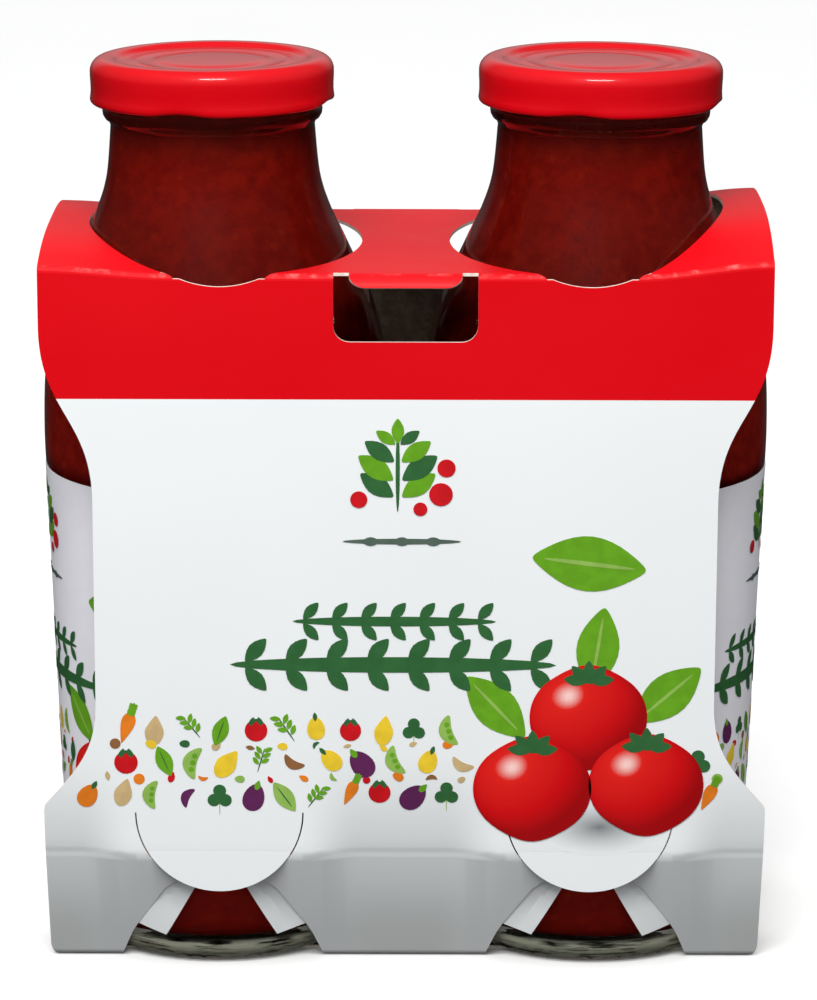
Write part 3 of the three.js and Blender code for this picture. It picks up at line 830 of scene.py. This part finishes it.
def tomato(bm, tone, x, y, size, layer):
    """A round fruit with its roundness in the depth of the ink."""
    verts = bmesh.ops.create_grid(bm, x_segments=26, y_segments=26, size=1.0)["verts"]
    light = Vector((-0.42, 0.52, 0.74)).normalized()
    for vert in verts:
        across, up = rounded(vert.co.x, vert.co.y)
        facing = Vector((across, up, math.sqrt(max(0, 1 - across**2 - up**2)))).dot(light)
        glint = math.exp(-((across + 0.34) ** 2 + (up - 0.42) ** 2) / 0.035)
        vert[tone] = min(1.0, 0.1 + 0.5 * max(0, facing) + 0.4 * glint)
        ribbed = 0.94 + 0.03 * math.cos(5 * across)
        vert.co = (x + size * across * 1.04, y + size * up * ribbed, INK_LIFT * layer)
    inked(verts, "tomato")


def soft_shadow(bm, tone, x, y, half, rise):
    """A shade that fades out to the white of the board."""
    verts = bmesh.ops.create_grid(bm, x_segments=36, y_segments=14, size=1.0)["verts"]
    for vert in verts:
        across, up = rounded(vert.co.x, vert.co.y)
        vert[tone] = max(0.0, 1 - math.hypot(across, up)) ** 1.3
        vert.co = (x + half * across, y + rise * up, -0.035)
    inked(verts, "shadow")


def sprig(bm, x, y, size):
    """An upright herb with paired leaves in two greens."""
    stamp(bm, "deep_green", bar, x, y, size)
    for i, (up, reach) in enumerate(((-0.5, 0.8), (-0.08, 0.84), (0.32, 0.7), (0.66, 0.46))):
        for side in (-1, 1):
            colour = "leaf_green" if (i + (side > 0)) % 2 else "deep_green"
            stamp(bm, colour, leaf, x + side * size * reach * 0.62, y + size * (up + 0.16),
                  size * reach * 0.6, -side * 0.95, layer=2)
    stamp(bm, "leaf_green", leaf, x, y + size * 0.98, size * 0.3, layer=2)


def garland(bm, x, y, half, size):
    """A level stem set with paired leaves."""
    stamp(bm, "deep_green", bar, x, y, half, math.pi / 2)
    count = int(2 * half / (size * 1.15))
    for i in range(count):
        along = x - half + (i + 0.5) * 2 * half / count
        for side in (-1, 1):
            stamp(bm, "deep_green", leaf, along + size * 0.16, y + side * size * 0.44, size * 0.46,
                  -math.pi / 2 + side * 0.85, layer=2, count=16)


def produce_band(bm, low, high, half_width, clear):
    """A scatter of small fruit, roots, herbs and beans along the panel."""
    pick = random.Random(41)
    kinds = ["leaf", "tomato", "root", "bean", "onion", "clover", "squash", "aubergine", "pod", "herb"]
    crumb_inks = ["pale_green", "tan", "cherry_red", "brown", "orange", "deep_green", "yellow"]
    bag = []
    for row in range(5):
        large = row % 2 == 0
        y = low + (high - low) * (row + 0.8) / 5.6
        reach = half_width(y) - (3.6 if large else 2.2)
        count = int(2 * reach / 6.0)
        for i in range(count):
            x = -reach + 2 * reach * (i + (0.3, 0.8, 0.75, 0.3)[row % 4]) / count + pick.uniform(-0.5, 0.5)
            spot_y, turn = y + pick.uniform(-0.5, 0.5), pick.uniform(-0.8, 0.8)
            if not bag:
                bag = kinds[:]
                pick.shuffle(bag)
            if clear(x, spot_y) or abs(x) > reach:
                continue
            if large:
                small_shape(bm, bag.pop(), x, spot_y, pick.uniform(2.5, 3.1), turn, pick)
            else:
                crumb = pick.choice([egg, bean, drop, disc, leaf])
                colour = pick.choice(crumb_inks)
                stamp(bm, colour, crumb, x, spot_y, pick.uniform(0.7, 1.2), turn * 2, 1, 14)


def small_shape(bm, kind, x, y, size, turn, pick):
    """One of the kinds of produce, made of a few stamps."""
    tip = Vector((-math.sin(turn), math.cos(turn))) * size
    if kind == "leaf":
        stamp(bm, pick.choice(["leaf_green", "pale_green", "deep_green"]), leaf, x, y, size * 1.15, turn)
        stamp(bm, "deep_green", bar, x, y, size * 0.8, turn, 2)
    elif kind == "tomato":
        stamp(bm, "cherry_red", disc, x, y, size * 0.74)
        for k in range(4):
            stamp(bm, "deep_green", leaf, x + 0.35 * size * math.sin(k * 1.6 - 2.4), y + size * 0.62,
                  size * 0.32, k * 0.7 - 1.05, 2, 10)
    elif kind == "root":
        stamp(bm, "orange", root, x, y, size, turn)
        for k in (-0.5, 0, 0.5):
            stamp(bm, "leaf_green", leaf, x + tip.x * 1.25, y + tip.y * 1.25, size * 0.45, turn + k, 2, 12)
    elif kind == "bean":
        stamp(bm, pick.choice(["brown", "tan", "plum"]), bean, x, y, size * 0.72, turn * 2)
    elif kind == "onion":
        stamp(bm, pick.choice(["tan", "yellow"]), drop, x, y, size * 1.05, turn)
    elif kind == "clover":
        for k in range(3):
            stamp(bm, "deep_green", disc, x + 0.42 * size * math.sin(k * 2.1),
                  y + 0.42 * size * math.cos(k * 2.1), size * 0.42)
        stamp(bm, "pale_green", bar, x, y - size * 0.75, size * 0.5, 0, 0)
    elif kind == "squash":
        stamp(bm, pick.choice(["orange", "yellow"]), egg, x, y, size * 0.88, turn)
        stamp(bm, "deep_green", leaf, x + tip.x * 0.9, y + tip.y * 0.9, size * 0.34, turn, 2, 12)
    elif kind == "aubergine":
        stamp(bm, "plum", egg, x, y, size * 0.95, turn)
        stamp(bm, "leaf_green", drop, x + tip.x * 0.88, y + tip.y * 0.88, size * 0.34, turn, 2, 12)
    elif kind == "pod":
        stamp(bm, "pale_green", bean, x, y, size * 1.05, turn)
        for k in (-0.45, 0, 0.45):
            stamp(bm, "leaf_green", disc, x + tip.x * k, y + tip.y * k, size * 0.17, 0, 2, 12)
    else:
        stamp(bm, "deep_green", bar, x, y, size, turn)
        for k in (-0.2, 0.25, 0.7):
            for side in (-1, 1):
                stamp(bm, "leaf_green", leaf, x + tip.x * k + side * 0.34 * size,
                      y + tip.y * k + 0.14 * size, size * 0.36, turn - side * 0.9, 2, 12)


def print_sheet(half_width):
    """The whole design, drawn flat: X across, Y up."""
    bm = bmesh.new()
    tone = bm.verts.layers.float.new("tone")
    sprig(bm, -1.4, 99.0, 7.8)
    for x, y, size in ((6.6, 94.6, 2.2), (7.6, 99.6, 1.7), (-8.6, 93.6, 1.6), (2.8, 91.8, 1.3)):
        stamp(bm, "cherry_red", disc, x, y, size, layer=3)
    stamp(bm, "grey_green", bar, -0.6, 85.6, 11.0, math.pi / 2)
    for x in (-6.4, -0.6, 5.2):
        stamp(bm, "grey_green", leaf, x, 85.6, 1.7, math.pi / 2, 2)
    garland(bm, -2.0, 70.2, 19.0, 4.6)
    garland(bm, -2.2, 61.8, 30.5, 6.4)
    stamp(bm, "leaf_green", leaf, 34.2, 81.4, 10.6, math.pi / 2 - 0.12, count=36)
    stamp(bm, "pale_green", bar, 34.2, 81.4, 8.6, math.pi / 2 - 0.12, 2)
    produce_band(bm, 33.6, 51.8, half_width, lambda x, y: 12.0 < x < 54.5)
    soft_shadow(bm, tone, 36.8, 30.0, 12.4, 5.6)
    for x, y, turn in ((17.0, 53.6, 0.75), (49.2, 56.0, -0.85), (36.0, 65.0, -0.15)):
        stamp(bm, "leaf_green", leaf, x, y, 8.0, turn, 1, 30)
        stamp(bm, "pale_green", bar, x, y, 6.2, turn, 2)
    tomato(bm, tone, 34.4, 51.6, 10.6, 3)
    tomato(bm, tone, 24.0, 37.6, 10.7, 5)
    tomato(bm, tone, 45.4, 38.4, 10.4, 5)
    for x, y, layer in ((34.4, 59.4, 4), (24.0, 45.8, 6), (45.4, 46.4, 6)):
        for k in range(5):
            turn = (k - 2) * 0.75
            stamp(bm, "deep_green", leaf, x - 2.4 * math.sin(turn), y + 1.6 * math.cos(turn) - 0.6, 2.3,
                  turn, layer, 14)
    return bm


def laid(bm, to_place):
    """Moves a flat print on to the surface that carries it."""
    for vert in bm.verts:
        vert.co = to_place(vert.co.x, vert.co.y, vert.co.z)
    return bm


def panel_half_width(z):
    """How far the panel reaches to each side at a height."""
    return WAIST_HALF_WIDTH if z > 50 else WAIST_HALF_WIDTH + max(0.0, 46.0 - z) * 0.72


def make_panel_prints():
    """The same design on the front and on the back."""
    off = HALF_DEPTH + PRINT_OFF
    front = laid(print_sheet(panel_half_width), lambda x, y, h: (x, foot_bend(x, y) - off - h, y))
    finished(front, "front_print", INKS)
    back = laid(print_sheet(panel_half_width), lambda x, y, h: (-x, off + h - foot_bend(x, y), y))
    finished(back, "back_print", INKS)


def make_label(name, side):
    """A paper sleeve round the body, with the design wrapped on to its outer end."""
    rise = [LABEL_LOW_Z + (LABEL_TOP_Z - LABEL_LOW_Z) * i / 24 for i in range(25)]
    outer = [(body_radius(z) + LABEL_OUTER, z) for z in rise]
    inner = [(body_radius(z) + LABEL_INNER, z) for z in reversed(rise)]
    sleeve = turned([*outer, *inner, outer[0]], 128)
    finished(stood(sleeve, side), f"label_{name}_paper", [PAPER], f"label_{name}")
    sheet = print_sheet(lambda y: LABEL_HALF_LENGTH)
    for i in range(-48, 49):
        bmesh.ops.bisect_plane(sheet, geom=whole(sheet), plane_co=(i * 1.6, 0, 0), plane_no=(1, 0, 0))

    def round_bottle(x, y, h):
        z = LABEL_LOW_Z + 4.8 + (y - 29.0) * 0.8
        radius = body_radius(z) + LABEL_INK + h
        turn = side * LABEL_FACING + 0.74 * x / radius
        return (radius * math.sin(turn), -radius * math.cos(turn), z)

    finished(stood(laid(sheet, round_bottle), side), f"label_{name}_print", INKS)


# Bottles and lids

def make_bottle(name, side):
    """The glass with its ridged heel, and the sauce that fills it."""
    foot = [(0.0, 1.4), (8.0, 1.35), (16.0, 1.1), (21.0, 0.8), (23.6, 0.35), (24.6, 0.06), (25.5, 0.0)]
    bead = [(r, NECK_Z + up) for r, up in (
        (19.6, 0.8), (20.3, 1.3), (20.7, 2.0), (20.8, 2.8), (20.6, 3.5), (20.0, 4.1))]
    mouth = [(19.7, NECK_Z + 4.6), (19.7, MOUTH_Z - 1.0), (19.4, MOUTH_Z - 0.3), (18.8, MOUTH_Z),
             (17.7, MOUTH_Z), (17.2, MOUTH_Z - 0.3), (17.0, MOUTH_Z - 0.9)]
    outside = foot + [tuple(p) for p in BODY] + bead + mouth
    glass = turned(outside + inside_profile(0.0)[::-1], 180)
    for vert in glass.verts:
        radius = math.hypot(vert.co.x, vert.co.y)
        if vert.co.z < 1.6 and 24.0 < radius < 28.2:
            ridge = math.cos(HEEL_RIDGES * math.atan2(vert.co.y, vert.co.x))
            vert.co.z += 0.22 * (1 - ridge) * (1 - abs(radius - 26.0) / 2.4)
    finished(stood(glass, side), f"bottle_{name}_glass", [GLASS], f"bottle_{name}", smooth=40.0)
    fill = inside_profile(0.06) + [(17.06, FILL_Z), (12.0, FILL_Z - 0.2), (0.0, FILL_Z - 0.2)]
    sauce = stood(turned(fill, 128), side)
    finished(sauce, f"passata_{name}_sauce", [SAUCE], f"passata_{name}")


def make_lid(name, side):
    """A pressed lid with a button, a ring, a raised rim and a rolled edge pinched in at each lug."""
    top, sheet, bend = LID_HEIGHT, LID_SHEET, LID_RIM_ROUND
    panel = top - LID_PANEL_DROP
    button = [(0.0, 0.42), (4.0, 0.42), (8.0, 0.36), (9.8, 0.3), (10.6, 0.12), (11.2, 0.0), (13.6, 0.0)]
    ring = [(14.0, 0.14), (14.6, 0.14), (15.0, 0.0), (16.8, 0.0), (17.4, 0.1), (18.0, 0.5), (18.5, 0.8)]
    outside = [(r, panel + up) for r, up in button + ring] + [(19.2, top)]
    for i in range(13):
        turn = math.pi / 2 * (1 - i / 12)
        outside.append((LID_RADIUS - bend * (1 - math.cos(turn)), top - bend * (1 - math.sin(turn))))
    outside += [(LID_RADIUS - back, z) for back, z in ((0.0, 5.0), (0.08, 3.6), (0.1, 2.4), (0.02, 1.6))]
    roll = [(LID_RADIUS - 0.65 + 0.75 * math.cos(t), 0.8 + 0.8 * math.sin(t))
            for t in (math.radians(-i * 30) for i in range(8))]
    inside = [(LID_RADIUS - sheet, 1.8), (LID_RADIUS - sheet, top - bend), (LID_RADIUS - 1.2, top - 1.1),
              (LID_RADIUS - bend, top - sheet), (19.2, top - sheet), (17.6, panel - sheet),
              (0.0, panel - sheet)]
    lid = turned(outside + roll + inside, 144)
    for vert in lid.verts:
        x, y, z = vert.co
        if z < 2.0 and x * x + y * y > 400:
            pinch = max(0.0, math.cos(LUGS * math.atan2(y, x) + 0.9)) ** 3 * (1 - z / 2.0)
            squeeze = 1 - 0.35 * pinch / math.hypot(x, y)
            vert.co = (x * squeeze, y * squeeze, z + 0.55 * pinch)
    rise = MOUTH_Z + LID_GAP + LID_PANEL_DROP + sheet - LID_HEIGHT
    bmesh.ops.translate(lid, verts=lid.verts, vec=(0, 0, rise))
    finished(stood(lid, side), f"lid_{name}_cap", [LACQUER], f"lid_{name}", smooth=40.0)


# Stage, lights and camera

def lamp(name, kind, spot, aim, power):
    """A light at a spot, turned to what it aims at."""
    data = bpy.data.lights.new(name, kind)
    data.energy = power
    made = bpy.data.objects.new(name, data)
    made.location = spot
    made.rotation_euler = (Vector(aim) - Vector(spot)).to_track_quat("-Z", "Y").to_euler()
    bpy.context.scene.collection.objects.link(made)
    return made


def make_stage():
    """The table top, the room's light and three lamps."""
    bm = bmesh.new()
    bmesh.ops.create_grid(bm, x_segments=2, y_segments=2, size=8.0)
    floor = into_scene(bm, "floor", [pale_floor()])
    floor.visible_diffuse = False
    floor.visible_glossy = False
    scene = bpy.context.scene
    scene.view_settings.view_transform = "Standard"
    scene.world = bpy.data.worlds.new("studio")
    scene.world.use_nodes = True
    tree = scene.world.node_tree
    room = tree.nodes["Background"]
    room.inputs["Color"].default_value = (0.985, 0.995, 1.0, 1.0)
    axes = tree.nodes.new("ShaderNodeSeparateXYZ")
    rise = tree.nodes.new("ShaderNodeMapRange")
    rise.interpolation_type = "SMOOTHSTEP"
    set_range(rise, -0.15, 0.35, 0.08, 0.86)
    ray = tree.nodes.new("ShaderNodeLightPath")
    behind = tree.nodes.new("ShaderNodeMapRange")
    set_range(behind, 0.75, 0.97, 0.05, 0.46)
    dim = tree.nodes.new("ShaderNodeMix")
    dim.inputs["A"].default_value = 1.0
    strength = tree.nodes.new("ShaderNodeMath")
    strength.operation = "MULTIPLY"
    tree.links.new(tree.nodes.new("ShaderNodeTexCoord").outputs["Generated"], axes.inputs[0])
    tree.links.new(axes.outputs["Z"], rise.inputs["Value"])
    tree.links.new(axes.outputs["Y"], behind.inputs["Value"])
    tree.links.new(ray.outputs["Is Glossy Ray"], dim.inputs["Factor"])
    tree.links.new(behind.outputs["Result"], dim.inputs["B"])
    tree.links.new(rise.outputs["Result"], strength.inputs[0])
    tree.links.new(dim.outputs["Result"], strength.inputs[1])
    tree.links.new(strength.outputs[0], room.inputs["Strength"])
    sun = lamp("overhead", "SUN", (-0.1, -0.35, 0.93), (0, 0, 0), 0.55)
    sun.data.angle = math.radians(50)
    key = lamp("front_softbox", "AREA", (-0.08, -0.42, 0.48), (0, 0, 0.11), 2.15)
    key.data.size = 0.3
    for light in (sun, key):
        light.visible_glossy = False
        light.visible_camera = False
    glint = lamp("small_softbox", "AREA", (0.0, -0.7, 1.13), (0, 0, 0.15), 3.4)
    glint.data.shape = "RECTANGLE"
    glint.data.size, glint.data.size_y = 0.4, 0.13


def make_camera():
    """A long lens a little above the lids, looking down at the front."""
    lens = bpy.data.cameras.new("camera")
    lens.sensor_width = lens.sensor_height = 36.0
    lens.lens = 153.6
    camera = bpy.data.objects.new("camera", lens)
    camera.location = (0.0006, -0.8, 0.285)
    tilt = Matrix.Rotation(math.radians(90 - 14.04), 4, "X")
    roll = Matrix.Rotation(math.radians(0.15), 4, "Z")
    camera.rotation_euler = (tilt @ roll).to_euler()
    bpy.context.scene.collection.objects.link(camera)
    bpy.context.scene.camera = camera


make_camera()
make_stage()
make_carton()
make_panel_prints()
for bottle_name, bottle_side in (("left", -1), ("right", 1)):
    make_bottle(bottle_name, bottle_side)
    make_lid(bottle_name, bottle_side)
    make_label(bottle_name, bottle_side)
